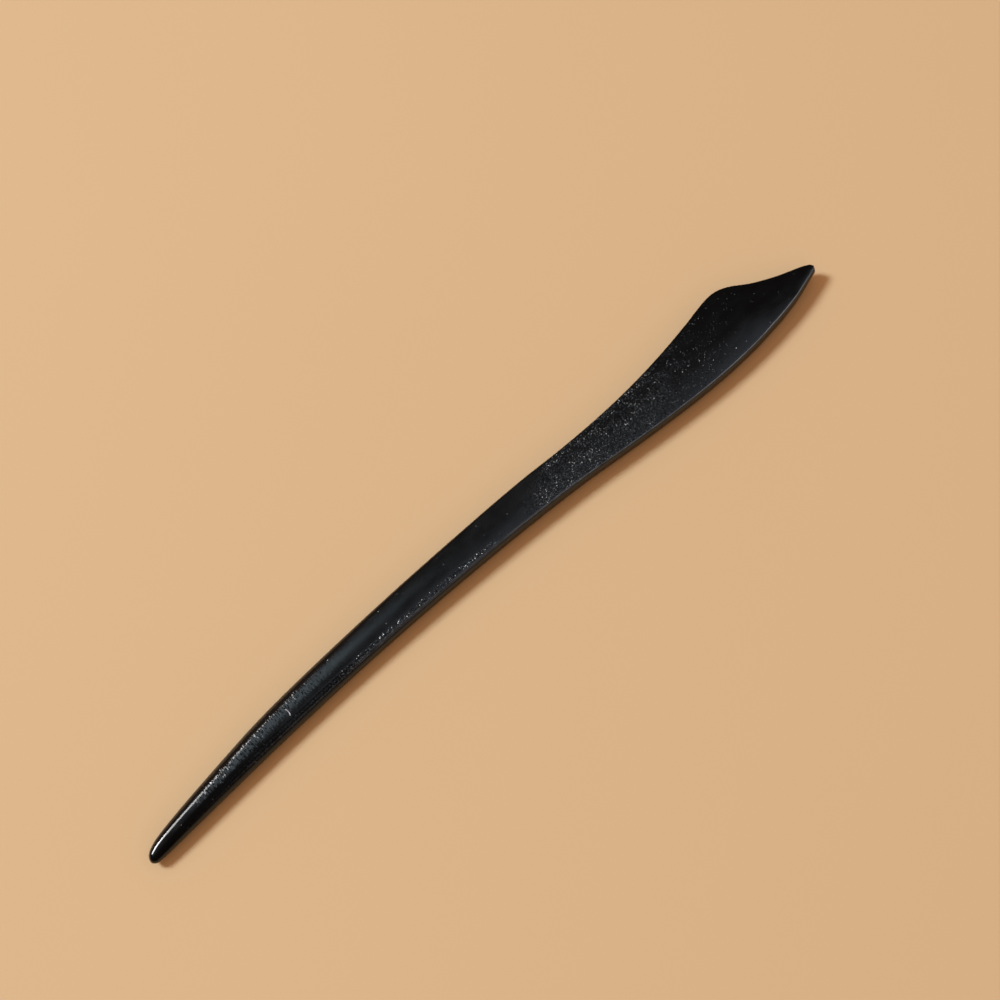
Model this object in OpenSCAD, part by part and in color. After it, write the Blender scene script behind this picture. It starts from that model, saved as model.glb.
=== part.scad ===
// Carved hair stick: a flat leaf-shaped head with one shoulder, a slim neck,
// a softly rounded shank and a round pin with a blunt tip, all in one piece of wood.
// It lies flat: +X runs from the pin to the head's point, +Y is the shoulder's side,
// +Z is up, and the origin is under the middle of its box.

/* [Overall size] */
// Length from the tip of the pin to the point of the head
stick_l = 180; // [150:1:200]
// Widest width across the head, at the shoulder
head_w = 15; // [12:0.5:18]
// Thickness of the board along the shank
board_t = 4.5; // [4:0.1:6]

/* [Ends and underside] */
// Radius of the blunt tip of the pin, seen from above
pin_tip_r = 1.3; // [0.8:0.1:2]
// Radius of the head's point, seen from above
head_tip_r = 0.5; // [0.4:0.1:1.5]
// Depth sanded off the underside, so that the stick lies still
flat_cut = 0.15; // [0.05:0.05:0.3]

/* [Side walls and edges] */
// How far the bulging side walls lean in where they meet the edges, in degrees
wall_lean = 20; // [15:1:45]
// Least radius of the upper edges
top_edge_r = 0.3; // [0.2:0.1:1]
// Least radius of the lower edges, which are left softer
under_edge_r = 1.3; // [0.3:0.1:2]

/* [Smoothness] */
// Distance between cross-sections along the shank
shank_step = 2.5; // [2:0.5:5]
// Distance between cross-sections along the head
head_step = 1.25; // [1:0.25:2.5]
// Facets in each rounded edge of a cross-section
edge_facets = 3; // [2:1:4]
// Facets in each bulging side wall of a cross-section
wall_facets = 4; // [2:2:8]

/* [Hidden] */

// Columns of the table of cross-sections
AT = 0;     // distance from the pin's tip
LEFT = 1;   // edge on the shoulder's side, from the line that joins the two tips
RIGHT = 2;  // the other edge, from the same line
THICK = 3;  // thickness, as a share of the board's
RISE = 4;   // how far the middle of the thickness rises above the board's
ROUND = 5;  // radius of the edges, as a share of half the thickness

// Length and head width that the table is drawn at
DRAWN_L = 180;
DRAWN_HEAD_W = 15;

// One row for each cross-section where the carver's line turns
SECTIONS = [
    //  at   left   right  thick  rise  round
    [   0,  1.05,  -1.25,  0.50,  0.00,  1.00],   // tip of the pin
    [   3,  2.40,  -1.25,  0.64,  0.00,  1.00],
    [   8,  3.45,  -1.05,  0.79,  0.00,  1.00],
    [  20,  5.20,  -0.45,  0.95,  0.00,  1.00],   // the round pin ends
    [  34,  6.87,   0.15,  1.00,  0.00,  0.95],
    [  50,  7.72,   0.62,  1.00,  0.00,  0.82],
    [  70,  8.17,   0.68,  1.00,  0.00,  0.50],   // middle of the shank
    [  90,  8.13,   0.15,  1.00,  0.00,  0.34],
    [ 104,  7.87,  -0.54,  1.00,  0.00,  0.26],
    [ 114,  7.30,  -1.27,  0.97,  0.00,  0.20],   // neck
    [ 124,  7.05,  -2.39,  0.95,  0.00,  0.15],
    [ 134,  7.35,  -3.43,  0.95,  0.00,  0.12],
    [ 144,  8.30,  -4.20,  0.96,  0.00,  0.12],   // the head opens
    [ 152,  9.48,  -4.43,  0.98,  0.00,  0.12],
    [ 158, 10.57,  -4.27,  0.98,  0.00,  0.12],   // shoulder
    [ 161, 10.62,  -4.07,  0.98,  0.00,  0.12],
    [ 164,  9.52,  -3.77,  0.98,  0.00,  0.12],
    [ 168,  6.80,  -3.30,  0.94,  0.05,  0.13],   // thinned from below
    [ 173,  4.25,  -2.40,  0.84,  0.25,  0.14],
    [ 178,  2.25,  -1.00,  0.63,  0.65,  0.20],
    [ 180,  1.20,  -0.40,  0.52,  0.80,  0.30]    // point of the head
];

// Where the closer cross-sections of the head begin, as drawn
HEAD_FROM = 130;
// The tips end in a small flat, at this angle of their round
TIP_FROM = 15;
TIP_RINGS = 6;

length_scale = stick_l / DRAWN_L;
width_scale = head_w / DRAWN_HEAD_W;
loft_t = board_t + flat_cut;
mid_z = board_t - loft_t / 2;

// Slope of a column at row i, from the rows beside it
function slope(i, col) =
    let (a = max(i - 1, 0), b = min(i + 1, len(SECTIONS) - 1))
    (SECTIONS[b][col] - SECTIONS[a][col]) / (SECTIONS[b][AT] - SECTIONS[a][AT]);

// The row that begins the stretch in which s lies
function row_before(s, i = 0) =
    i >= len(SECTIONS) - 2 || s < SECTIONS[i + 1][AT] ? i : row_before(s, i + 1);

// Smooth value of a column at the drawn distance s: a cubic through the rows
function at_distance(s, col) =
    let (
        i = row_before(s),
        span = SECTIONS[i + 1][AT] - SECTIONS[i][AT],
        u = (s - SECTIONS[i][AT]) / span,
        start = SECTIONS[i][col],
        end = SECTIONS[i + 1][col],
        run_in = slope(i, col) * span,
        run_out = slope(i + 1, col) * span
    )
    start + u * run_in
    + u * u * (3 * (end - start) - 2 * run_in - run_out)
    + u * u * u * (2 * (start - end) + run_in + run_out);

// A round tip of radius r: its cross-sections as [distance from the end, share of the full size]
function tip_rings(r) = [
    for (k = [0 : TIP_RINGS - 1])
        let (a = TIP_FROM + (90 - TIP_FROM) * k / TIP_RINGS)
        [r * (cos(TIP_FROM) - cos(a)) / cos(TIP_FROM), sin(a)]
];

// Evenly spaced distances from a to b, the last one left out
function spread(a, b, step) =
    let (n = ceil((b - a) / step))
    [for (k = [0 : n - 1]) a + (b - a) * k / n];

// Every cross-section: [drawn distance, share of the thickness, share of the width]
PIN_TIP = [for (t = tip_rings(pin_tip_r / length_scale)) [t[0], t[1], t[1]]];
SHANK = [
    for (s = spread(pin_tip_r / length_scale, HEAD_FROM, shank_step / length_scale)) [s, 1, 1]
];
HEAD = [
    for (s = spread(HEAD_FROM, DRAWN_L - head_tip_r / length_scale, head_step / length_scale))
        [s, 1, 1]
];
POINT = [
    for (k = [0 : TIP_RINGS])
        let (
            a = 90 - (90 - TIP_FROM) * k / TIP_RINGS,
            r = head_tip_r / length_scale
        )
        [DRAWN_L - r * (cos(TIP_FROM) - cos(a)) / cos(TIP_FROM), 1, sin(a)]
];
RINGS = concat(PIN_TIP, SHANK, HEAD, POINT);

// The origin is level with the middle of the widest reach to either side
widest_left = max([for (r = RINGS) at_distance(r[0], LEFT)]);
widest_right = min([for (r = RINGS) at_distance(r[0], RIGHT)]);
mid_y = (widest_left + widest_right) / 2;

// Directions that one side of a cross-section faces in turn, from straight up to straight down
FACING = concat(
    [for (f = [0 : edge_facets - 1]) 90 - (90 - wall_lean) * f / edge_facets],
    [for (f = [0 : wall_facets - 1]) wall_lean - 2 * wall_lean * f / wall_facets],
    [for (f = [0 : edge_facets]) -wall_lean - (90 - wall_lean) * f / edge_facets]
);

// Point of the left side that faces up by a degrees, from the middle of its cross-section;
// the edge above the wall and the edge below it have a radius of their own
function side_point(a, half_w, half_t, carved_r) =
    let (
        edge_r = min(max(carved_r, a < 0 ? under_edge_r : top_edge_r), half_t),
        wall_r = (half_t - edge_r) / sin(wall_lean) + edge_r,
        inset = wall_r - (wall_r - edge_r) * cos(wall_lean),
        narrow = min(1, half_w / inset),
        on_wall = abs(a) < wall_lean,
        r = on_wall ? wall_r : edge_r
    )
    [
        half_w + narrow * ((on_wall ? -wall_r : -inset) + r * cos(a)),
        (on_wall ? 0 : sign(a) * (half_t - edge_r)) + r * sin(a)
    ];

// One cross-section: flat above and below, with bulging sides between rounded edges,
// as a closed ring of points
function cross_section(ring) =
    let (
        s = ring[0],
        left = at_distance(s, LEFT),
        right = at_distance(s, RIGHT),
        centre = ((left + right) / 2 - mid_y) * width_scale,
        half_w = (left - right) / 2 * width_scale * ring[2],
        half_t = loft_t / 2 * min(at_distance(s, THICK), 1) * ring[1],
        middle = mid_z + at_distance(s, RISE),
        carved_r = half_t * at_distance(s, ROUND),
        side = [for (a = FACING) side_point(a, half_w, half_t, carved_r)],
        n = len(side)
    )
    [
        for (j = [0 : 2 * n - 1])
            let (p = j < n ? side[j] : side[2 * n - 1 - j])
            [
                (s - DRAWN_L / 2) * length_scale,
                centre + (j < n ? p[0] : -p[0]),
                middle + p[1]
            ]
    ];

// The closed skin through all the cross-sections
module carved_blank() {
    per_ring = 2 * len(FACING);
    points = [for (ring = RINGS) each cross_section(ring)];
    last = (len(RINGS) - 1) * per_ring;
    sides = [
        for (i = [0 : len(RINGS) - 2], j = [0 : per_ring - 1])
            let (
                a = i * per_ring + j,
                b = i * per_ring + (j + 1) % per_ring
            )
            [a, b, b + per_ring, a + per_ring]
    ];
    pin_end = [for (j = [per_ring - 1 : -1 : 0]) j];
    head_end = [for (j = [0 : per_ring - 1]) last + j];
    polyhedron(points = points, faces = concat(sides, [pin_end], [head_end]), convexity = 4);
}

// The blank with its underside sanded flat
module hair_stick() {
    color([0.05, 0.05, 0.055])
    intersection() {
        carved_blank();
        translate([-stick_l, -2 * head_w, 0]) cube([2 * stick_l, 4 * head_w, 2 * board_t]);
    }
}

hair_stick();
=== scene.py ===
"""Looks of a carved hair stick: a flat leaf-shaped head, a slim neck, a rounded shank and a round pin.

The stick is one piece of open-grained wood under thin satin black lacquer. It lies on its flat underside,
with the pin towards -X and the shoulder of the head towards +Y. Sizes are in millimetres until they are
turned into metres, and every distance along the stick is measured from the tip of the pin.
"""

import math

import bpy
from mathutils import Matrix, Vector


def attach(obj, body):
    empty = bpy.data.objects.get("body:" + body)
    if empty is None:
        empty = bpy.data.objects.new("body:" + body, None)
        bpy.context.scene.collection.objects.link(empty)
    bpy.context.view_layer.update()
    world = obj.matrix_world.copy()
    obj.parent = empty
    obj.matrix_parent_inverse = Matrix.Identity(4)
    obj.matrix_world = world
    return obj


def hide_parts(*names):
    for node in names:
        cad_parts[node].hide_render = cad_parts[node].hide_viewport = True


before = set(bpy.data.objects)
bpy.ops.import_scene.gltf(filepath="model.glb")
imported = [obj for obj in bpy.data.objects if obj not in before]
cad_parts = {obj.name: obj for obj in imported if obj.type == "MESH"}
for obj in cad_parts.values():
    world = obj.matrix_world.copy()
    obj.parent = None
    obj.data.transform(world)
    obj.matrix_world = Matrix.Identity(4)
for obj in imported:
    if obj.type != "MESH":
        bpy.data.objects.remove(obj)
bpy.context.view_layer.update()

MM = 0.001

# Sizes of the stick
STICK_LENGTH = 180.0
BOARD_THICKNESS = 4.5
# sanded off the underside, so that the stick lies still
FLAT_CUT = 0.15
# how far the bulging side walls lean in where they meet the edges, in degrees
WALL_LEAN = 20.0
# least radius of the worn upper edges, and of the softer lower ones
WORN_EDGE = 0.32
UNDER_EDGE = 1.3
# radii of the two tips, seen from above
PIN_TIP_RADIUS = 1.3
HEAD_TIP_RADIUS = 0.5
# from the line that joins the tips to the middle of the stick's box
MIDDLE_OF_BOX = 3.138

# One row for each cross-section where the carver's line turns: distance from the pin's tip, edge on the
# shoulder's side, the other edge, thickness as a share of the board's, how far the middle rises above the
# board's, edge radius as a share of half the thickness, slope of the crowned upper face at its sides in
# degrees, and roughness of the lacquer.
ROW_COLUMNS = ("at", "left", "right", "thick", "rise", "round", "crown", "rough")
CARVED_ROWS = (
    (0, 1.05, -1.25, 0.50, 0.00, 1.00, 5.0, 0.14),
    (3, 2.40, -1.25, 0.64, 0.00, 1.00, 5.0, 0.14),
    (8, 3.45, -1.05, 0.79, 0.00, 1.00, 4.5, 0.13),
    (20, 5.20, -0.45, 0.95, 0.00, 1.00, 8.0, 0.15),
    (34, 6.87, 0.15, 1.00, 0.00, 0.95, 8.0, 0.16),
    (50, 7.72, 0.62, 1.00, 0.00, 0.82, 8.5, 0.16),
    (70, 8.17, 0.68, 1.00, 0.00, 0.50, 8.5, 0.17),
    (90, 8.13, 0.15, 1.00, 0.00, 0.34, 6.0, 0.18),
    (104, 7.87, -0.54, 1.00, 0.00, 0.26, 4.0, 0.22),
    (114, 7.30, -1.27, 0.97, 0.00, 0.20, 3.0, 0.22),
    (124, 7.05, -2.39, 0.95, 0.00, 0.15, 3.0, 0.20),
    (134, 7.35, -3.43, 0.95, 0.00, 0.12, 2.5, 0.19),
    (144, 8.30, -4.20, 0.96, 0.00, 0.12, 2.5, 0.19),
    (152, 9.48, -4.43, 0.98, 0.00, 0.12, 3.0, 0.17),
    (158, 10.57, -4.27, 0.98, 0.00, 0.12, 3.0, 0.16),
    (161, 10.62, -4.07, 0.98, 0.00, 0.12, 3.0, 0.15),
    (164, 9.52, -3.77, 0.98, 0.00, 0.12, 2.8, 0.14),
    (168, 6.80, -3.30, 0.94, 0.05, 0.13, 2.6, 0.13),
    (173, 4.25, -2.40, 0.84, 0.25, 0.14, 2.8, 0.13),
    (178, 2.25, -1.00, 0.63, 0.65, 0.20, 4.0, 0.13),
    (180, 1.20, -0.40, 0.52, 0.80, 0.30, 4.5, 0.13),
)


def add(tree, kind, inputs=None, **settings):
    """A node with its settings and inputs; an input is a value or the socket that feeds it."""
    node = tree.nodes.new(kind)
    for name, value in settings.items():
        setattr(node, name, value)
    for key, value in (inputs or {}).items():
        if isinstance(value, bpy.types.NodeSocket):
            tree.links.new(value, node.inputs[key])
        else:
            node.inputs[key].default_value = value
    return node


def calc(tree, operation, *values):
    """The result of one Math node."""
    return add(tree, "ShaderNodeMath", dict(enumerate(values)), operation=operation).outputs[0]


def times(tree, first, *rest):
    """All the values multiplied."""
    product = first
    for value in rest:
        product = calc(tree, "MULTIPLY", product, value)
    return product


def ramp(tree, value, low, high, to_low=0.0, to_high=1.0, curve="LINEAR"):
    """value carried from low..high to to_low..to_high, and held there at both ends."""
    node = add(
        tree, "ShaderNodeMapRange",
        {"Value": value, "From Min": low, "From Max": high, "To Min": to_low, "To Max": to_high},
        interpolation_type=curve,
    )
    return node.outputs["Result"]


def blend(tree, share, a, b):
    """a where share is 0 and b where it is 1."""
    return calc(tree, "ADD", a, times(tree, share, calc(tree, "SUBTRACT", b, a)))


def vector_of(tree, x=0.0, y=0.0, z=0.0):
    """A vector from its three parts."""
    return add(tree, "ShaderNodeCombineXYZ", {"X": x, "Y": y, "Z": z}).outputs[0]


def vector_calc(tree, operation, a, b):
    """The result of one Vector Math node."""
    second = "Scale" if operation == "SCALE" else 1
    return add(tree, "ShaderNodeVectorMath", {0: a, second: b}, operation=operation).outputs[0]


def new_group(kind, name, inputs, outputs):
    """A node group with named sockets, as (tree, its input sockets, its output node)."""
    tree = bpy.data.node_groups.new(name, kind)
    for socket_name, socket_kind, value in inputs:
        socket = tree.interface.new_socket(socket_name, in_out="INPUT", socket_type=socket_kind)
        if value is not None:
            socket.default_value = value
    for socket_name, socket_kind in outputs:
        tree.interface.new_socket(socket_name, in_out="OUTPUT", socket_type=socket_kind)
    start = tree.nodes.new("NodeGroupInput")
    end = tree.nodes.new("NodeGroupOutput")
    return tree, start.outputs, end


def group_node(tree, group, **inputs):
    """A node group placed in a tree, with its inputs set by name."""
    kind = "GeometryNodeGroup" if tree.bl_idname == "GeometryNodeTree" else "ShaderNodeGroup"
    named = {name.replace("_", " "): value for name, value in inputs.items()}
    node = tree.nodes.new(kind)
    node.node_tree = group
    for name, value in named.items():
        if isinstance(value, bpy.types.NodeSocket):
            tree.links.new(value, node.inputs[name])
        else:
            node.inputs[name].default_value = value
    return node


def store(tree, geometry, name, value):
    """geometry with value kept on its points under name."""
    return add(
        tree, "GeometryNodeStoreNamedAttribute",
        {"Geometry": geometry, "Name": name, "Value": value},
        data_type="FLOAT", domain="POINT",
    ).outputs["Geometry"]


def stored(tree, name):
    """The value kept on the points under name."""
    return add(tree, "GeometryNodeInputNamedAttribute", {"Name": name}, data_type="FLOAT").outputs[0]


def smooth_rows_group():
    """The smooth value of a column between two rows: a cubic with the slopes of the rows beside them."""
    tree, given, end = new_group(
        "GeometryNodeTree", "Smooth Between Rows",
        (
            ("Rows", "NodeSocketGeometry", None),
            ("Column", "NodeSocketFloat", 0.0),
            ("Row", "NodeSocketInt", 0),
            ("Share", "NodeSocketFloat", 0.0),
        ),
        (("Value", "NodeSocketFloat"),),
    )
    at = stored(tree, "at")

    def sample(field, step):
        index = calc(tree, "ADD", given["Row"], float(step))
        return add(
            tree, "GeometryNodeSampleIndex",
            {"Geometry": given["Rows"], "Value": field, "Index": index},
            data_type="FLOAT", domain="POINT", clamp=True,
        ).outputs["Value"]

    here = {step: (sample(at, step), sample(given["Column"], step)) for step in (-1, 0, 1, 2)}

    def slope(before, after):
        rise = calc(tree, "SUBTRACT", here[after][1], here[before][1])
        return calc(tree, "DIVIDE", rise, calc(tree, "SUBTRACT", here[after][0], here[before][0]))

    span = calc(tree, "SUBTRACT", here[1][0], here[0][0])
    run_in = times(tree, slope(-1, 1), span)
    run_out = times(tree, slope(0, 2), span)
    start, finish = here[0][1], here[1][1]
    climb = calc(tree, "SUBTRACT", finish, start)
    runs = calc(tree, "ADD", run_in, run_out)
    second = calc(tree, "SUBTRACT", times(tree, climb, 3.0), calc(tree, "ADD", runs, run_in))
    third = calc(tree, "SUBTRACT", runs, times(tree, climb, 2.0))
    value = calc(tree, "MULTIPLY_ADD", third, given["Share"], second)
    value = calc(tree, "MULTIPLY_ADD", value, given["Share"], run_in)
    value = calc(tree, "MULTIPLY_ADD", value, given["Share"], start)
    tree.links.new(value, end.inputs["Value"])
    return tree


# Cross-sections in the round of each tip, and the angle of that round at which its small end flat begins
TIP_RINGS = 14
TIP_FROM = 4.0


def rail_of_rings(tree, given):
    """A line with one point for each cross-section, which carries that cross-section's sizes."""
    line = add(
        tree, "GeometryNodeMeshLine",
        {"Count": given["Rings"], "Offset": (1.0, 0.0, 0.0)}, mode="OFFSET",
    ).outputs["Mesh"]
    ring = add(tree, "GeometryNodeInputIndex").outputs[0]
    last = calc(tree, "SUBTRACT", given["Rings"], 1.0)
    to_last = calc(tree, "SUBTRACT", last, ring)
    first_angle, right_angle = math.radians(TIP_FROM), math.radians(90)
    pin_angle = ramp(tree, ring, 0.0, float(TIP_RINGS), first_angle, right_angle)
    head_angle = ramp(tree, to_last, 0.0, float(TIP_RINGS), first_angle, right_angle)
    reach = math.cos(first_angle)

    def gone(angle, radius):
        """How far from the very end a tip's cross-section lies."""
        part = calc(tree, "SUBTRACT", reach, calc(tree, "COSINE", angle))
        return times(tree, part, calc(tree, "DIVIDE", radius, reach))

    middle = ramp(tree, ring, float(TIP_RINGS), calc(tree, "SUBTRACT", last, float(TIP_RINGS)))
    between = calc(
        tree, "SUBTRACT", given["Length"],
        calc(tree, "ADD", given["Pin Tip Radius"], given["Head Tip Radius"]),
    )
    along = calc(tree, "MULTIPLY_ADD", middle, between, gone(pin_angle, given["Pin Tip Radius"]))
    head_part = calc(
        tree, "SUBTRACT", given["Head Tip Radius"], gone(head_angle, given["Head Tip Radius"])
    )
    along = calc(tree, "ADD", along, head_part)

    # the rows lie on a line at their distances, so the index sampled there is the row and the share of the
    # way to the next one
    rows = given["Rows"]
    rows_line = add(tree, "GeometryNodeMeshToCurve", {"Mesh": rows}).outputs["Curve"]
    index = add(tree, "GeometryNodeInputIndex").outputs[0]
    position = add(
        tree, "GeometryNodeSampleCurve",
        {"Curves": rows_line, "Value": index, "Length": along},
        mode="LENGTH", data_type="FLOAT", use_all_curves=True,
    ).outputs["Value"]
    row = calc(tree, "MINIMUM", calc(tree, "FLOOR", position), float(len(CARVED_ROWS) - 2))
    share = calc(tree, "SUBTRACT", position, row)

    line = store(tree, line, "along", along)
    line = store(tree, line, "pin share", calc(tree, "SINE", pin_angle))
    line = store(tree, line, "point share", calc(tree, "SINE", head_angle))
    smooth = smooth_rows_group()
    for column in ROW_COLUMNS[1:]:
        value = group_node(
            tree, smooth, Rows=rows, Column=stored(tree, column), Row=row, Share=share
        ).outputs["Value"]
        line = store(tree, line, "row " + column, value)
    return add(tree, "GeometryNodeMeshToCurve", {"Mesh": line}).outputs["Curve"]


# How one side of a cross-section is shared out, from the middle of the top face to the middle of the
# underside: flat, rounded edge, bulging wall, rounded edge, flat
SIDE_SHARES = (0.25, 0.42, 0.68, 0.80)


def cross_section_ring(tree, given):
    """A closed ring that carries, for each point, which way it faces, how far out on the flat it is, and
    which side it is on."""
    ring = add(
        tree, "GeometryNodeMeshCircle", {"Vertices": given["Facets"]}, fill_type="NONE"
    ).outputs["Mesh"]
    index = add(tree, "GeometryNodeInputIndex").outputs[0]
    turn = calc(tree, "DIVIDE", index, given["Facets"])
    down = calc(tree, "PINGPONG", times(tree, turn, 2.0), 1.0)
    hand = calc(tree, "SUBTRACT", 1.0, times(tree, calc(tree, "GREATER_THAN", turn, 0.5), 2.0))
    flat_end, edge_end, wall_end, under_end = SIDE_SHARES
    lean = given["Wall Lean"]
    edge = calc(tree, "SUBTRACT", 90.0, lean)
    facing = calc(tree, "SUBTRACT", 90.0, times(tree, edge, ramp(tree, down, flat_end, edge_end)))
    facing = calc(
        tree, "SUBTRACT", facing, times(tree, lean, 2.0, ramp(tree, down, edge_end, wall_end))
    )
    facing = calc(tree, "SUBTRACT", facing, times(tree, edge, ramp(tree, down, wall_end, under_end)))
    reach = calc(tree, "SUBTRACT", ramp(tree, down, 0.0, flat_end), ramp(tree, down, under_end, 1.0))
    ring = store(tree, ring, "facing", facing)
    ring = store(tree, ring, "reach", reach)
    ring = store(tree, ring, "hand", hand)
    return add(tree, "GeometryNodeMeshToCurve", {"Mesh": ring}).outputs["Curve"]


# The least sizes that are divided by, in millimetres, and the slack of an angle, in radians
LEAST_HALF_WIDTH = 0.01
LEAST_REACH = 0.05
ANGLE_SLACK = 0.0001

# The arris between the upper face and the side wall: the way that its middle faces, in degrees above level,
# and how far from that its mark fades out
ARRIS_FACING = 62.0
ARRIS_SPREAD = 28.0


def place_skin(tree, given, skin):
    """Every point of the skin at its place in its cross-section."""
    left, right = stored(tree, "row left"), stored(tree, "row right")
    half_board = times(tree, calc(tree, "ADD", given["Board Thickness"], given["Flat Cut"]), 0.5)
    middle_z = calc(tree, "SUBTRACT", given["Board Thickness"], half_board)
    middle_z = calc(tree, "ADD", middle_z, stored(tree, "row rise"))
    pin_share = stored(tree, "pin share")
    tips = times(tree, pin_share, stored(tree, "point share"))
    half_wide = times(tree, calc(tree, "SUBTRACT", left, right), 0.5, tips)
    centre = calc(
        tree, "SUBTRACT", times(tree, calc(tree, "ADD", left, right), 0.5), given["Middle Of Box"]
    )
    half_thick = times(
        tree, half_board, calc(tree, "MINIMUM", stored(tree, "row thick"), 1.0), pin_share
    )
    facing = calc(tree, "RADIANS", stored(tree, "facing"))
    below = calc(tree, "LESS_THAN", facing, 0.0)
    least_r = blend(tree, below, given["Worn Edge"], given["Under Edge"])
    edge_r = times(tree, half_thick, calc(tree, "MINIMUM", stored(tree, "row round"), 1.0))
    edge_r = calc(tree, "MINIMUM", calc(tree, "MAXIMUM", edge_r, least_r), half_thick)
    lean = calc(tree, "RADIANS", given["Wall Lean"])
    straight = calc(tree, "SUBTRACT", half_thick, edge_r)
    bulge_r = calc(tree, "DIVIDE", straight, calc(tree, "SINE", lean))
    wall_r = calc(tree, "ADD", bulge_r, edge_r)
    inset = calc(tree, "SUBTRACT", wall_r, times(tree, bulge_r, calc(tree, "COSINE", lean)))
    narrow = calc(tree, "MINIMUM", calc(tree, "DIVIDE", half_wide, inset), 1.0)

    reach = stored(tree, "reach")
    upper = calc(tree, "SIGN", facing)
    on_wall = calc(
        tree, "LESS_THAN", calc(tree, "ABSOLUTE", facing), calc(tree, "SUBTRACT", lean, ANGLE_SLACK)
    )
    cos_facing, sin_facing = calc(tree, "COSINE", facing), calc(tree, "SINE", facing)
    flat_wide = calc(tree, "SUBTRACT", half_wide, times(tree, narrow, inset))
    out_edge = calc(
        tree, "MULTIPLY_ADD", times(tree, narrow, edge_r), cos_facing,
        times(tree, flat_wide, calc(tree, "ABSOLUTE", reach)),
    )
    back_in = times(tree, wall_r, calc(tree, "SUBTRACT", cos_facing, 1.0))
    out_wall = calc(tree, "MULTIPLY_ADD", narrow, back_in, half_wide)
    out = blend(tree, on_wall, out_edge, out_wall)
    up_edge = calc(tree, "MULTIPLY_ADD", upper, straight, times(tree, edge_r, sin_facing))
    up = blend(tree, on_wall, up_edge, times(tree, wall_r, sin_facing))
    slope = calc(tree, "TANGENT", calc(tree, "RADIANS", stored(tree, "row crown")))
    bow = calc(
        tree, "DIVIDE", times(tree, out, out), calc(tree, "MAXIMUM", half_wide, LEAST_HALF_WIDTH)
    )
    up = calc(
        tree, "SUBTRACT", up, times(tree, slope, bow, 0.5, calc(tree, "MAXIMUM", sin_facing, 0.0))
    )

    x = calc(tree, "SUBTRACT", stored(tree, "along"), times(tree, given["Length"], 0.5))
    y = calc(tree, "MULTIPLY_ADD", stored(tree, "hand"), times(tree, out, -1.0), centre)
    z = calc(tree, "ADD", middle_z, up)
    skin = add(
        tree, "GeometryNodeSetPosition", {"Geometry": skin, "Position": vector_of(tree, x, y, z)}
    ).outputs["Geometry"]
    across = calc(
        tree, "DIVIDE", calc(tree, "SUBTRACT", y, centre),
        calc(tree, "MAXIMUM", half_wide, LEAST_REACH),
    )
    skin = store(tree, skin, "across", across)
    off_arris = calc(tree, "ABSOLUTE", calc(tree, "SUBTRACT", stored(tree, "facing"), ARRIS_FACING))
    return store(tree, skin, "arris", ramp(tree, off_arris, 0.0, ARRIS_SPREAD, 1.0, 0.0))


def sand_by_hand(tree, given, skin):
    """Slow waves of hand sanding on the skin, and the underside brought back flat."""
    position = add(tree, "GeometryNodeInputPosition").outputs[0]
    stretch = vector_of(tree, given["Wave Length"], given["Wave Width"], given["Wave Width"])
    spot = vector_calc(tree, "DIVIDE", position, stretch)
    spot = vector_calc(tree, "ADD", spot, vector_of(tree, given["Seed"]))
    waves = add(
        tree, "ShaderNodeTexNoise", {"Vector": spot, "Scale": 1.0, "Detail": 1.0, "Roughness": 0.4},
        noise_dimensions="3D",
    ).outputs[0]
    height = times(
        tree, calc(tree, "SUBTRACT", waves, 0.5), given["Wave Depth"],
        stored(tree, "pin share"), stored(tree, "point share"),
    )
    normal = add(tree, "GeometryNodeInputNormal").outputs[0]
    skin = add(
        tree, "GeometryNodeSetPosition",
        {"Geometry": skin, "Offset": vector_calc(tree, "SCALE", normal, height)},
    ).outputs["Geometry"]
    place = add(
        tree, "ShaderNodeSeparateXYZ", {0: add(tree, "GeometryNodeInputPosition").outputs[0]}
    ).outputs
    flat = vector_of(tree, place["X"], place["Y"], calc(tree, "MAXIMUM", place["Z"], 0.0))
    return add(
        tree, "GeometryNodeSetPosition",
        {"Geometry": skin, "Position": vector_calc(tree, "SCALE", flat, MM)},
    ).outputs["Geometry"]


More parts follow.
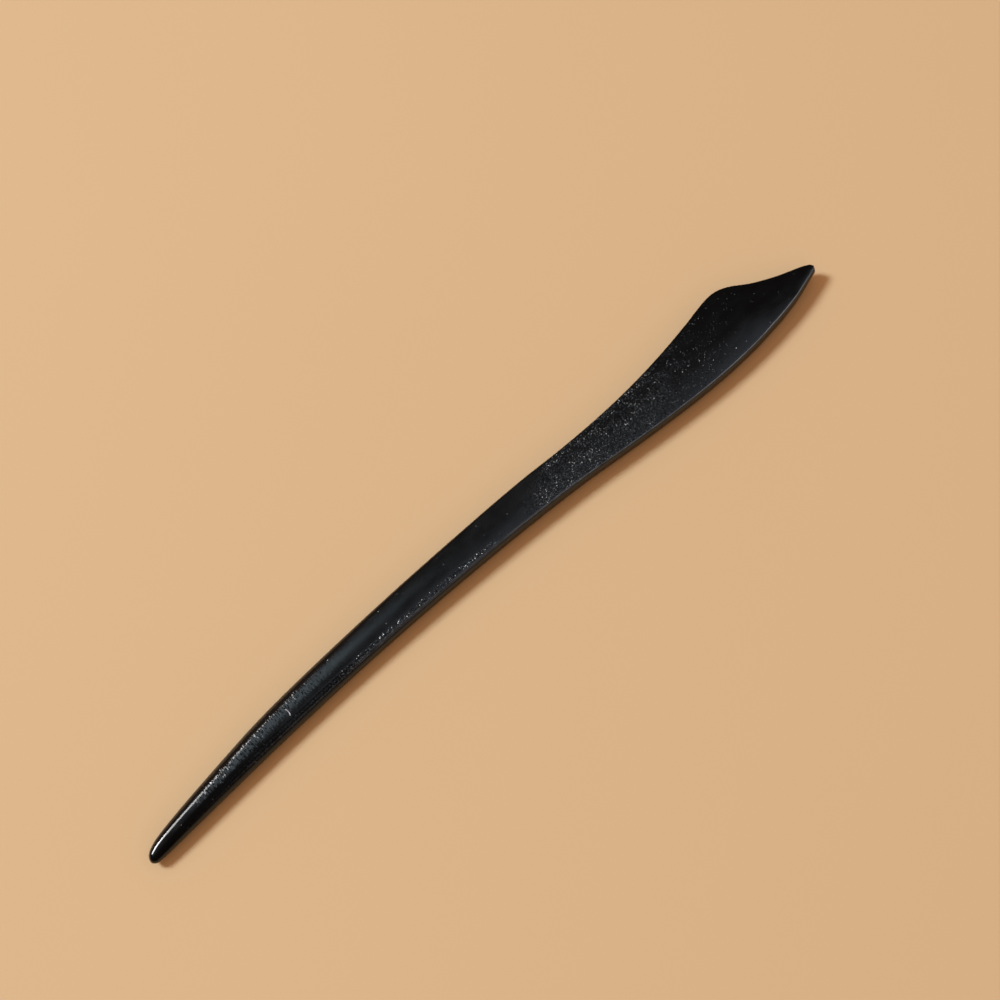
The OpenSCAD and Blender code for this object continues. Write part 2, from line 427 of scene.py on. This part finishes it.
def carving_tree():
    """Geometry nodes that turn the rows of the table into the whole closed stick."""
    tree, given, end = new_group(
        "GeometryNodeTree", "Carved Stick",
        (
            ("Rows", "NodeSocketGeometry", None),
            ("Rings", "NodeSocketInt", 800),
            ("Facets", "NodeSocketInt", 120),
            ("Length", "NodeSocketFloat", STICK_LENGTH),
            ("Board Thickness", "NodeSocketFloat", BOARD_THICKNESS),
            ("Flat Cut", "NodeSocketFloat", FLAT_CUT),
            ("Wall Lean", "NodeSocketFloat", WALL_LEAN),
            ("Worn Edge", "NodeSocketFloat", WORN_EDGE),
            ("Under Edge", "NodeSocketFloat", UNDER_EDGE),
            ("Pin Tip Radius", "NodeSocketFloat", PIN_TIP_RADIUS),
            ("Head Tip Radius", "NodeSocketFloat", HEAD_TIP_RADIUS),
            ("Middle Of Box", "NodeSocketFloat", MIDDLE_OF_BOX),
            ("Wave Depth", "NodeSocketFloat", 0.04),
            ("Wave Length", "NodeSocketFloat", 14.0),
            ("Wave Width", "NodeSocketFloat", 5.0),
            ("Seed", "NodeSocketFloat", 3.0),
            ("Material", "NodeSocketMaterial", None),
        ),
        (("Stick", "NodeSocketGeometry"),),
    )
    tree.is_modifier = True
    rail = rail_of_rings(tree, given)
    ring = cross_section_ring(tree, given)
    skin = add(
        tree, "GeometryNodeCurveToMesh",
        {"Curve": rail, "Profile Curve": ring, "Fill Caps": True},
    ).outputs["Mesh"]
    skin = place_skin(tree, given, skin)
    skin = sand_by_hand(tree, given, skin)
    skin = add(tree, "GeometryNodeSetShadeSmooth", {"Geometry": skin}).outputs["Geometry"]
    skin = add(tree, "GeometryNodeRealizeInstances", {"Geometry": skin}).outputs["Geometry"]
    skin = add(
        tree, "GeometryNodeSetMaterial", {"Geometry": skin, "Material": given["Material"]}
    ).outputs["Geometry"]
    tree.links.new(skin, end.inputs["Stick"])
    return tree


def set_inputs(modifier, **values):
    """Sets a modifier's inputs by the identifiers of their sockets."""
    for item in modifier.node_group.interface.items_tree:
        key = item.name.replace(" ", "_").lower()
        if item.item_type == "SOCKET" and item.in_out == "INPUT" and key in values:
            modifier[item.identifier] = values[key]


def carve_stick(material):
    """The stick as a plain mesh, carved by geometry nodes from the rows of the table."""
    mesh = bpy.data.meshes.new("rows")
    count = len(CARVED_ROWS)
    mesh.from_pydata(
        [(row[0], 0.0, 0.0) for row in CARVED_ROWS], [(i, i + 1) for i in range(count - 1)], []
    )
    for column, name in enumerate(ROW_COLUMNS):
        values = mesh.attributes.new(name, "FLOAT", "POINT")
        values.data.foreach_set("value", [float(row[column]) for row in CARVED_ROWS])
    rows = bpy.data.objects.new("rows", mesh)
    bpy.context.scene.collection.objects.link(rows)
    modifier = rows.modifiers.new("carving", "NODES")
    modifier.node_group = carving_tree()
    set_inputs(modifier, material=material)
    depsgraph = bpy.context.evaluated_depsgraph_get()
    carved = bpy.data.meshes.new_from_object(rows.evaluated_get(depsgraph))
    carved.name = "stick"
    stick = bpy.data.objects.new("stick", carved)
    bpy.context.scene.collection.objects.link(stick)
    bpy.data.objects.remove(rows)
    return stick


def in_millimetres(tree):
    """The place on the stick, in millimetres from the tip of the pin, as (vector, distance along)."""
    coordinates = add(tree, "ShaderNodeTexCoord").outputs["Object"]
    place = add(
        tree, "ShaderNodeMapping",
        {
            "Vector": coordinates,
            "Location": (STICK_LENGTH / 2, 0.0, 0.0),
            "Scale": (1 / MM, 1 / MM, 1 / MM),
        },
    ).outputs[0]
    along = add(tree, "ShaderNodeSeparateXYZ", {0: place}).outputs["X"]
    return place, along


def stretched(tree, place, length, width):
    """Coordinates in which a fleck of that length along the stick and that width is one unit each way."""
    return vector_calc(tree, "DIVIDE", place, vector_of(tree, length, width, width))


def noise(tree, place, length, width, detail):
    """Smooth noise with features of that length along the stick and that width."""
    spot = stretched(tree, place, length, width)
    return add(
        tree, "ShaderNodeTexNoise", {"Vector": spot, "Scale": 1.0, "Detail": detail, "Roughness": 0.5}
    ).outputs[0]


def zone(tree, value, start, full, fade, gone):
    """1 between full and fade, running out to 0 at start and gone."""
    rise = ramp(tree, value, start, full, curve="SMOOTHSTEP")
    fall = ramp(tree, value, fade, gone, 1.0, 0.0, curve="SMOOTHSTEP")
    return times(tree, rise, fall)


# Where a fleck's tilt begins and ends to run out, as a share of its size
FLECK_RIM = (0.35, 0.65)


def glinting_flecks_group():
    """Small flecks that tilt the surface each its own way, so that each one glints or stays dark."""
    tree, given, end = new_group(
        "ShaderNodeTree", "Glinting Flecks",
        (
            ("Place", "NodeSocketVector", None),
            ("Normal", "NodeSocketVector", None),
            ("Fleck Length", "NodeSocketFloat", 0.4),
            ("Fleck Width", "NodeSocketFloat", 0.3),
            ("Tilt", "NodeSocketFloat", 0.2),
            ("Tilt Across", "NodeSocketFloat", 1.0),
            ("Share", "NodeSocketFloat", 0.5),
        ),
        (("Normal", "NodeSocketVector"),),
    )
    spot = stretched(tree, given["Place"], given["Fleck Length"], given["Fleck Width"])
    cells = add(tree, "ShaderNodeTexVoronoi", {"Vector": spot, "Scale": 1.0}, feature="F1")
    luck = add(tree, "ShaderNodeSeparateColor", {0: cells.outputs["Color"]}).outputs
    # the fleck's own tilt holds over its middle and runs out towards its rim, and it is doubled because the
    # luck below runs only from -0.5 to 0.5
    held = times(
        tree, given["Tilt"], calc(tree, "LESS_THAN", luck["Blue"], given["Share"]),
        ramp(tree, cells.outputs["Distance"], *FLECK_RIM, 2.0, 0.0),
    )
    tilt = vector_of(
        tree, calc(tree, "SUBTRACT", luck["Red"], 0.5),
        times(tree, calc(tree, "SUBTRACT", luck["Green"], 0.5), given["Tilt Across"]),
    )
    tilted = vector_calc(tree, "ADD", given["Normal"], vector_calc(tree, "SCALE", tilt, held))
    normal = add(tree, "ShaderNodeVectorMath", {0: tilted}, operation="NORMALIZE").outputs[0]
    tree.links.new(normal, end.inputs["Normal"])
    return tree


def raised_grain_group():
    """Grain that stands up through the lacquer: pointed flecks on a finely uneven ground."""
    tree, given, end = new_group(
        "ShaderNodeTree", "Raised Grain",
        (
            ("Place", "NodeSocketVector", None),
            ("Fleck Length", "NodeSocketFloat", 0.5),
            ("Fleck Width", "NodeSocketFloat", 0.4),
            ("Ground", "NodeSocketFloat", 0.5),
        ),
        (("Height", "NodeSocketFloat"),),
    )
    spot = stretched(tree, given["Place"], given["Fleck Length"], given["Fleck Width"])
    flecks = add(tree, "ShaderNodeTexVoronoi", {"Vector": spot, "Scale": 1.0}, feature="F1")
    ground = noise(tree, given["Place"], given["Fleck Length"], given["Fleck Width"], detail=1.0)
    points = calc(tree, "SUBTRACT", 1.0, flecks.outputs["Distance"])
    tree.links.new(blend(tree, given["Ground"], points, ground), end.inputs["Height"])
    return tree


def ripples_group():
    """Fine ripples left across the stick by scraping and sanding."""
    tree, given, end = new_group(
        "ShaderNodeTree", "Scraping Ripples",
        (
            ("Place", "NodeSocketVector", None),
            ("Pitch", "NodeSocketFloat", 0.6),
            ("Reach", "NodeSocketFloat", 1.6),
        ),
        (("Height", "NodeSocketFloat"),),
    )
    waves = noise(tree, given["Place"], given["Pitch"], given["Reach"], detail=1.0)
    tree.links.new(waves, end.inputs["Height"])
    return tree


def scratch_group():
    """One short curved scratch, 1 along its bottom and 0 beside it, and far above or below its Middle."""
    tree, given, end = new_group(
        "ShaderNodeTree", "Curved Scratch",
        (
            ("Place", "NodeSocketVector", None),
            ("Middle", "NodeSocketVector", None),
            ("Turn", "NodeSocketFloat", 0.8),
            ("Half Length", "NodeSocketFloat", 1.0),
            ("Width", "NodeSocketFloat", 0.3),
            ("Bend", "NodeSocketFloat", 0.3),
            ("Flatness", "NodeSocketFloat", 0.3),
        ),
        (("Depth", "NodeSocketFloat"),),
    )
    from_middle = vector_calc(tree, "SUBTRACT", given["Place"], given["Middle"])
    turned = add(
        tree, "ShaderNodeVectorRotate", {"Vector": from_middle, "Angle": given["Turn"]},
        rotation_type="Z_AXIS",
    ).outputs[0]
    parts = add(tree, "ShaderNodeSeparateXYZ", {0: turned}).outputs
    beyond = calc(
        tree, "MAXIMUM",
        calc(tree, "SUBTRACT", calc(tree, "ABSOLUTE", parts["X"]), given["Half Length"]), 0.0,
    )
    bent = calc(tree, "SUBTRACT", parts["Y"], times(tree, given["Bend"], parts["X"], parts["X"]))
    sunk = times(tree, parts["Z"], given["Flatness"])
    squares = calc(tree, "ADD", times(tree, beyond, beyond), times(tree, bent, bent))
    away = calc(tree, "SQRT", calc(tree, "ADD", squares, times(tree, sunk, sunk)))
    tree.links.new(
        ramp(tree, away, 0.0, given["Width"], 1.0, 0.0, curve="SMOOTHSTEP"), end.inputs["Depth"]
    )
    return tree


def mixed_color(tree, share, a, b):
    """Colour a where share is 0 and colour b where it is 1."""
    node = tree.nodes.new("ShaderNodeMix")
    node.data_type = "RGBA"
    sockets = {socket.identifier: socket for socket in node.inputs}
    tree.links.new(share, sockets["Factor_Float"])
    sockets["A_Color"].default_value = (*a, 1.0)
    sockets["B_Color"].default_value = (*b, 1.0)
    return next(socket for socket in node.outputs if socket.identifier == "Result_Color")


# Where the features of the lacquer lie. A zone gives where a feature starts, is full, fades and is gone:
# along the stick in millimetres from the tip of the pin, or across it, from -1 at its lower edge to 1 at
# the edge on the shoulder's side.
NECK_GRAIN = (99.0, 110.0, 128.0, 150.0)
PATCHY_GRAIN = (96.0, 116.0, 128.0, 160.0)
HEAD_SPECKS = (128.0, 138.0, 150.0, 162.0)
SPECK_LINE = (46.0, 54.0, 84.0, 96.0)
SPECK_LINE_ACROSS = (-0.84, -0.74, -0.60, -0.44)
SCRAPED = (10.0, 20.0, 30.0, 58.0)
SCRATCH_MIDDLE = (38.84, 0.32, 4.4)
# the grain ends slantwise: this many millimetres further from the pin on the shoulder's side
GRAIN_SLANT = 6.0

# The same for features that only begin or only end. A ramp gives where it starts and ends, and then its
# values there, which are 0 and 1 if none are given.
SCRAPED_ACROSS = (-0.3, 0.2, 0.15, 1.0)
# ramps of the lower edge's rubbed grey, which is also its painted highlight
RUBBED_AND_SHEEN_ACROSS = (-0.55, -0.75)
RUBBED_AND_SHEEN_ON_SHANK = (50.0, 64.0, 0.0, 0.30)
RUBBED_AND_SHEEN_TO_HEAD = (90.0, 166.0, 0.0, 0.70)
RUBBED_AND_SHEEN_AT_POINT = (171.0, 179.0, 1.0, 0.3)

# How the noise that patches come from is made into patches, as ramps of its value
GRAIN_PATCHES = (0.40, 0.60)
RUBBED_AND_SHEEN_PATCHES = (0.36, 0.60, 0.45, 1.0)

# Shares of the grain's height: all over the neck, in patches there, and in patches beyond it
EVEN_GRAIN, NECK_PATCHES, OUTER_PATCHES = 0.75, 0.25, 0.30

# Shares of the flecks that glint: anywhere, and what the head and the line near the lower edge add to that
LONE_SPECKS, HEAD_SHARE, LINE_SHARE = 0.01, 0.10, 0.85

# Relief of the lacquer, in millimetres
GRAIN_HEIGHT = 0.014
EDGE_GRAIN_HEIGHT = 0.02
RIPPLE_HEIGHT = 0.024
SCRATCH_DEPTH = 0.04

# Colours of the lacquer: whole, rubbed grey and painted highlight along the lower edge, and what the
# scratch adds
BLACK = (0.0022, 0.0028, 0.0032)
# a bluish grey on the lower arris: rubbed lacquer and painted highlight in one
RUBBED_GREY_AND_SHEEN = (0.105, 0.125, 0.155)
# the scratch's pale bluish colour is a painted glint along its groove
NO_SCRATCH, SCRATCH_PAINTED_GLINT = (0.0, 0.0, 0.0), (0.42, 0.50, 0.62)

# How much rougher the patches and the rubbed lower edge with its painted highlight are than the polish
# around them
PATCH_ROUGHNESS = 0.10
RUBBED_ROUGHNESS = 0.08


def standing_grain(tree, leaning, patches):
    """How far the grain stands up: most on the neck, and patchily beyond it on both sides."""
    patchy = ramp(tree, patches, *GRAIN_PATCHES)
    neck = zone(tree, leaning, *NECK_GRAIN)
    beyond = zone(tree, leaning, *PATCHY_GRAIN)
    on_neck = calc(tree, "MULTIPLY_ADD", neck, EVEN_GRAIN, times(tree, neck, patchy, NECK_PATCHES))
    return calc(tree, "MULTIPLY_ADD", times(tree, beyond, patchy), OUTER_PATCHES, on_neck)


def speck_share(tree, leaning, along, across):
    """The share of flecks that glint: few in most places, many in a line near the lower edge."""
    head = zone(tree, leaning, *HEAD_SPECKS)
    low_line = times(
        tree, zone(tree, along, *SPECK_LINE), zone(tree, across, *SPECK_LINE_ACROSS)
    )
    share = calc(tree, "MULTIPLY_ADD", head, HEAD_SHARE, LONE_SPECKS)
    return calc(tree, "MULTIPLY_ADD", low_line, LINE_SHARE, share)


def rubbed_edge_and_sheen(tree, place, along, across, arris):
    """How far the lower arris is rubbed grey, a grey that also paints its highlight: more and more towards
    the head, and less at its point.
    """
    lower = ramp(tree, across, *RUBBED_AND_SHEEN_ACROSS)
    uneven = ramp(tree, noise(tree, place, 2.4, 0.8, detail=2.0), *RUBBED_AND_SHEEN_PATCHES)
    on_shank = ramp(tree, along, *RUBBED_AND_SHEEN_ON_SHANK)
    to_head = ramp(tree, along, *RUBBED_AND_SHEEN_TO_HEAD)
    at_point = ramp(tree, along, *RUBBED_AND_SHEEN_AT_POINT)
    return times(tree, arris, lower, uneven, calc(tree, "ADD", on_shank, to_head), at_point)


def lacquer():
    """Thin satin black lacquer over open-grained wood."""
    material = bpy.data.materials.new("Black lacquered wood")
    material.use_nodes = True
    tree = material.node_tree
    tree.nodes.clear()
    place, along = in_millimetres(tree)
    across = add(tree, "ShaderNodeAttribute", attribute_name="across").outputs["Fac"]
    arris = add(tree, "ShaderNodeAttribute", attribute_name="arris").outputs["Fac"]
    polish = add(tree, "ShaderNodeAttribute", attribute_name="row rough").outputs["Fac"]

    patches = noise(tree, place, 4.5, 2.2, detail=1.0)
    leaning = calc(tree, "MULTIPLY_ADD", across, -GRAIN_SLANT, along)
    grain_here = standing_grain(tree, leaning, patches)
    grain = group_node(
        tree, raised_grain_group(), Place=place, Fleck_Length=0.40, Fleck_Width=0.28, Ground=0.4
    ).outputs["Height"]

    # ripples across the pin's side of the shank, sharpest on the shoulder's side
    scraped = times(tree, zone(tree, along, *SCRAPED), ramp(tree, across, *SCRAPED_ACROSS))
    ripples = group_node(
        tree, ripples_group(), Place=place, Pitch=0.35, Reach=1.3
    ).outputs["Height"]
    scratch = group_node(
        tree, scratch_group(), Place=place, Middle=SCRATCH_MIDDLE, Turn=1.6,
        Half_Length=0.75, Width=0.15, Bend=-0.30,
    ).outputs["Depth"]

    height = times(tree, grain, grain_here, GRAIN_HEIGHT)
    height = calc(tree, "MULTIPLY_ADD", times(tree, ripples, scraped), RIPPLE_HEIGHT, height)
    height = calc(tree, "MULTIPLY_ADD", scratch, -SCRATCH_DEPTH, height)
    height = calc(tree, "MULTIPLY_ADD", times(tree, grain, arris), EDGE_GRAIN_HEIGHT, height)
    bump = add(
        tree, "ShaderNodeBump", {"Strength": 1.0, "Distance": MM, "Height": height}
    ).outputs[0]

    # flecks of the neck's grain, then those of the ripples, then single specks
    flecks = glinting_flecks_group()
    normal = group_node(
        tree, flecks, Place=place, Normal=bump, Fleck_Length=0.20, Fleck_Width=0.19,
        Tilt=times(tree, grain_here, 0.25), Share=0.85,
    ).outputs["Normal"]
    normal = group_node(
        tree, flecks, Place=place, Normal=normal, Fleck_Length=0.22, Fleck_Width=0.70,
        Tilt=times(tree, scraped, 0.11), Tilt_Across=1.8, Share=0.6,
    ).outputs["Normal"]
    normal = group_node(
        tree, flecks, Place=place, Normal=normal, Fleck_Length=0.21, Fleck_Width=0.19,
        Tilt=0.34, Share=speck_share(tree, leaning, along, across),
    ).outputs["Normal"]

    # the lower arris in a rubbed bluish grey, which also paints its highlight
    rubbed_and_sheen = rubbed_edge_and_sheen(tree, place, along, across, arris)
    color = mixed_color(tree, rubbed_and_sheen, BLACK, RUBBED_GREY_AND_SHEEN)
    # a painted glint in the scratch, bright under any light
    pale = mixed_color(tree, scratch, NO_SCRATCH, SCRATCH_PAINTED_GLINT)
    color = vector_calc(tree, "ADD", color, pale)
    from_mean = calc(tree, "SUBTRACT", patches, 0.5)
    roughness = calc(tree, "MULTIPLY_ADD", from_mean, PATCH_ROUGHNESS, polish)
    roughness = calc(tree, "MULTIPLY_ADD", rubbed_and_sheen, RUBBED_ROUGHNESS, roughness)
    shader = add(
        tree, "ShaderNodeBsdfPrincipled",
        {"Base Color": color, "Roughness": roughness, "IOR": 1.4, "Normal": normal},
    )
    out = tree.nodes.new("ShaderNodeOutputMaterial")
    tree.links.new(shader.outputs[0], out.inputs["Surface"])
    return material


# The floor's two tones, which run softly into each other, and how far it reaches in metres
FLOOR_TONES = ((0.560, 0.460, 0.290), (0.575, 0.472, 0.299))
FLOOR_REACH = 4.0


def floor_finish():
    """A plain pale warm floor with the faintest tooth."""
    material = bpy.data.materials.new("Pale floor")
    material.use_nodes = True
    tree = material.node_tree
    place = in_millimetres(tree)[0]
    tooth = noise(tree, place, 0.8, 0.8, detail=2.0)
    cloud = noise(tree, place, 120.0, 120.0, detail=1.0)
    shader = tree.nodes["Principled BSDF"]
    shader.inputs["Specular IOR Level"].default_value = 0.2
    tree.links.new(mixed_color(tree, cloud, *FLOOR_TONES), shader.inputs["Base Color"])
    tree.links.new(ramp(tree, tooth, 0.0, 1.0, 0.76, 0.84), shader.inputs["Roughness"])
    height = times(tree, tooth, 0.03)
    bump = add(tree, "ShaderNodeBump", {"Strength": 0.3, "Distance": MM, "Height": height})
    tree.links.new(bump.outputs[0], shader.inputs["Normal"])
    return material


def lay_floor():
    """A wide level floor under the stick."""
    mesh = bpy.data.meshes.new("floor")
    reach = FLOOR_REACH
    mesh.from_pydata(
        [(-reach, -reach, 0), (reach, -reach, 0), (reach, reach, 0), (-reach, reach, 0)], [],
        [(0, 1, 2, 3)],
    )
    mesh.materials.append(floor_finish())
    floor = bpy.data.objects.new("floor", mesh)
    bpy.context.scene.collection.objects.link(floor)


# How far the lights stand from the stick, in metres
LIGHT_DISTANCE = 2.5


def softbox(name, azimuth, elevation, half_angle, brightness, color, only_reflected=True):
    """A round soft light that faces the stick.

    azimuth is in degrees from +X, elevation is above the floor, and half_angle is half the angle that the
    light fills as seen from the stick. One that is only reflected shows as sheen and lights nothing else.
    """
    radius = LIGHT_DISTANCE * math.tan(math.radians(half_angle))
    light = bpy.data.lights.new(name, "AREA")
    light.shape = "DISK"
    light.size = 2 * radius
    light.energy = brightness * math.pi * math.pi * radius**2
    light.color = color
    lamp = bpy.data.objects.new(name, light)
    bpy.context.scene.collection.objects.link(lamp)
    turn, rise = math.radians(azimuth), math.radians(elevation)
    away = Vector((math.cos(turn) * math.cos(rise), math.sin(turn) * math.cos(rise), math.sin(rise)))
    lamp.location = away * LIGHT_DISTANCE
    lamp.rotation_mode = "QUATERNION"
    lamp.rotation_quaternion = away.to_track_quat("Z", "Y")
    lamp.visible_camera = False
    lamp.visible_diffuse = not only_reflected


# Each light's name, azimuth, elevation, half angle, brightness and colour, as softbox() takes them
KEY_LIGHT = ("key", 125.0, 48.0, 8.5, 39.0, (1.0, 1.0, 1.0))
SHEEN_LIGHTS = (
    ("low card", 98.0, 18.5, 22.0, 0.22, (1.0, 0.42, 0.12)),
    ("side panel", -11.0, 53.0, 19.0, 2.7, (0.85, 0.92, 1.0)),
    ("far panel", -46.0, 48.0, 24.0, 1.3, (0.70, 0.88, 1.0)),
    ("edge panel", -53.0, 34.0, 15.0, 1.2, (1.0, 0.93, 0.95)),
    ("near panel", -68.0, 18.0, 18.0, 1.5, (1.0, 0.93, 0.92)),
    ("pin lamp", 113.0, 55.0, 10.0, 17.0, (1.0, 1.0, 1.0)),
    ("overhead panel", 0.0, 76.5, 12.0, 0.95, (0.75, 0.85, 1.0)),
    ("small panel", 94.0, 71.0, 5.5, 2.75, (0.70, 0.89, 1.0)),
)

# The room's warm light on everything, and how dim the room is where it shows in reflections
ROOM_LIGHT = (0.60, 0.315, 0.170, 1.0)
ROOM_IN_REFLECTIONS = (0.028, 0.010, 0.008, 1.0)


def light_studio():
    """One key light from beyond the pin, soft panels for the sheen, and a warm room."""
    softbox(*KEY_LIGHT, only_reflected=False)
    for light in SHEEN_LIGHTS:
        softbox(*light)
    world = bpy.data.worlds.new("studio")
    bpy.context.scene.world = world
    world.use_nodes = True
    tree = world.node_tree
    rays = add(tree, "ShaderNodeLightPath")
    room = tree.nodes["Background"]
    room.inputs["Color"].default_value = ROOM_LIGHT
    dim = add(tree, "ShaderNodeBackground", {"Color": ROOM_IN_REFLECTIONS})
    chosen = add(
        tree, "ShaderNodeMixShader",
        {0: rays.outputs["Is Glossy Ray"], 1: room.outputs[0], 2: dim.outputs[0]},
    )
    tree.links.new(chosen.outputs[0], tree.nodes["World Output"].inputs["Surface"])
    bpy.context.scene.view_settings.view_transform = "Standard"


# The camera's place in millimetres, its heading from +X, dip below level and roll in degrees, and its lens
# and sensor in millimetres
CAMERA_AT = (-65.6, -116.95, 416.75)
CAMERA_HEADING = 58.55
CAMERA_DIP = 71.01
CAMERA_ROLL = -11.45
LENS = 78.05
SENSOR = 36.0


def place_camera():
    """The camera at the photograph's viewing angle."""
    data = bpy.data.cameras.new("camera")
    data.lens = LENS
    data.sensor_width = SENSOR
    data.clip_start, data.clip_end = 0.01, 20.0
    camera = bpy.data.objects.new("camera", data)
    bpy.context.scene.collection.objects.link(camera)
    heading, dip = math.radians(CAMERA_HEADING), math.radians(CAMERA_DIP)
    ahead = Vector(
        (math.cos(heading) * math.cos(dip), math.sin(heading) * math.cos(dip), -math.sin(dip))
    )
    level = ahead.cross(Vector((0, 0, 1))).normalized()
    right = (Matrix.Rotation(math.radians(CAMERA_ROLL), 3, -ahead) @ level).normalized()
    up = right.cross(ahead)
    matrix = Matrix((right, up, -ahead)).transposed().to_4x4()
    matrix.translation = Vector(CAMERA_AT) * MM
    camera.matrix_world = matrix
    bpy.context.scene.camera = camera


stick = carve_stick(lacquer())
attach(stick, "root")
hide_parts("hair_stick")
lay_floor()
light_studio()
place_camera()
